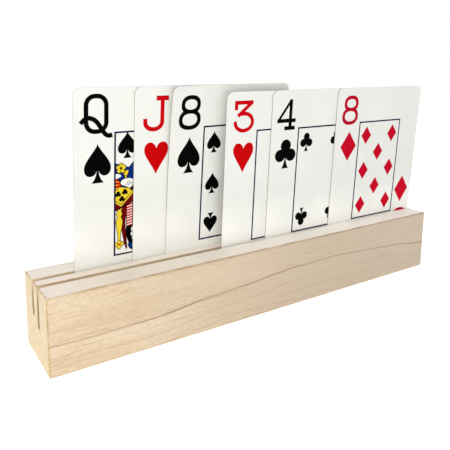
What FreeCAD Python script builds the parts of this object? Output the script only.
"""Wooden playing-card holder with six cards standing in it.

The holder is one square hardwood bar with two saw-kerf slots along its whole length.  The rear slot is
shallower than the front one, so the rear cards stand higher and their indices show above the front row.
Each card leans forward on the front lip of its slot and stands on the slot's floor.

Millimetres.  The origin is the centre of the bar's underside, +X runs along the bar, +Y towards its back
and +Z up.
"""

import FreeCAD
import Part

import math
import os

from FreeCAD import Placement, Rotation, Vector

# The bar: 1 1/4 in square stock, about 8 3/8 in long.
BAR_LENGTH = 213.5
BAR_SECTION = 31.75
EDGE_EASE = 0.8  # radius sanded on every outside edge

# The slots: one pass of a 3/32 in thin-kerf saw blade each, open at both ends.
KERF = 2.4
SLOT_SPACING = 7.2  # between the two slots' centre lines
REAR_DEPTH = 14.3
FRONT_DEPTH = 17.5
LIP_EASE = 0.4  # radius sanded on the slots' top edges

# The cards: standard poker size.
CARD_WIDTH = 63.5
CARD_HEIGHT = 88.9
CARD_THICK = 0.3
CARD_CORNER = 3.2
CARD_GAP = 0.1  # air between one card and the next, and between the first card and the lip
FOOT_GAP = 0.05  # air under a card's lowest corner

# Each slot: its centre line, its depth, its cards' forward lean in degrees, and its cards from the front of
# the slot to the back, each with its left edge's distance from the bar's left end.
SLOTS = (
    (
        SLOT_SPACING / 2,
        REAR_DEPTH,
        4.4,
        (("eight_of_spades", 57.4), ("jack_of_hearts", 41.9), ("queen_of_spades", 16.8)),
    ),
    (
        -SLOT_SPACING / 2,
        FRONT_DEPTH,
        3.0,
        (("eight_of_diamonds", 148.6), ("four_of_clubs", 107.8), ("three_of_hearts", 82.8)),
    ),
)


def box(x_size, y_size, z_size, y_mid, z_low):
    """A box centred on X, with its middle at y_mid and its underside at z_low."""
    corner = Vector(-x_size / 2, y_mid - y_size / 2, z_low)
    return Part.makeBox(x_size, y_size, z_size, corner)


def lip_edges(shape):
    """The long edges where the slots' walls meet the bar's top."""
    walls = [y_mid + side * KERF / 2 for y_mid, _, _, _ in SLOTS for side in (-1, 1)]
    found = []
    for edge in shape.Edges:
        middle = edge.BoundBox.Center
        on_top = abs(middle.z - BAR_SECTION) < 1e-3
        on_wall = any(abs(middle.y - wall) < 1e-3 for wall in walls)
        if on_top and on_wall and edge.Length > BAR_LENGTH / 2:
            found.append(edge)
    return found


def holder_block():
    """The bar, with its outside edges eased, its two slots sawn and their lips eased."""
    bar = box(BAR_LENGTH, BAR_SECTION, BAR_SECTION, 0, 0)
    bar = bar.makeFillet(EDGE_EASE, bar.Edges)
    for y_mid, depth, _, _ in SLOTS:
        blade = box(BAR_LENGTH * 1.1, KERF, depth * 2, y_mid, BAR_SECTION - depth)
        bar = bar.cut(blade)
    return bar.makeFillet(LIP_EASE, lip_edges(bar))


def flat_card():
    """One card standing upright, its front face on the XZ plane and its lower left corner at the origin."""
    blank = Part.makeBox(CARD_WIDTH, CARD_THICK, CARD_HEIGHT)
    upright = [e for e in blank.Edges if abs(e.BoundBox.YLength - CARD_THICK) < 1e-6]
    return blank.makeFillet(CARD_CORNER, upright)


def card_foot(y_mid, depth, lean, place):
    """(Y, Z) of the lower front edge of the card in that place, counted from the front of its slot.

    The first card's face is CARD_GAP from the slot's rounded front lip, and each card behind it is one
    thickness and one gap further back, square to the cards' own plane.
    """
    sine, cosine = math.sin(math.radians(lean)), math.cos(math.radians(lean))
    lip_y = y_mid - KERF / 2 - LIP_EASE
    lip_z = BAR_SECTION - LIP_EASE
    face = lip_y * cosine + lip_z * sine + LIP_EASE + CARD_GAP
    face += place * (CARD_THICK + CARD_GAP)
    foot_z = BAR_SECTION - depth + FOOT_GAP
    return (face - foot_z * sine) / cosine, foot_z


def cards():
    """Every card in its place, as (name, solid)."""
    for y_mid, depth, lean, row in SLOTS:
        for place, (name, left) in enumerate(row):
            foot_y, foot_z = card_foot(y_mid, depth, lean, place)
            foot = Vector(left - BAR_LENGTH / 2, foot_y, foot_z)
            card = flat_card()
            card.Placement = Placement(foot, Rotation(Vector(1, 0, 0), lean))
            yield name, card


def main():
    os.makedirs("parts", exist_ok=True)
    solids = [("holder_block", holder_block()), *cards()]
    for name, solid in solids:
        solid.exportStep(f"parts/{name}.step")
        print(f"{name}: {solid.Volume:.1f} mm3, valid {solid.isValid()}")


main()
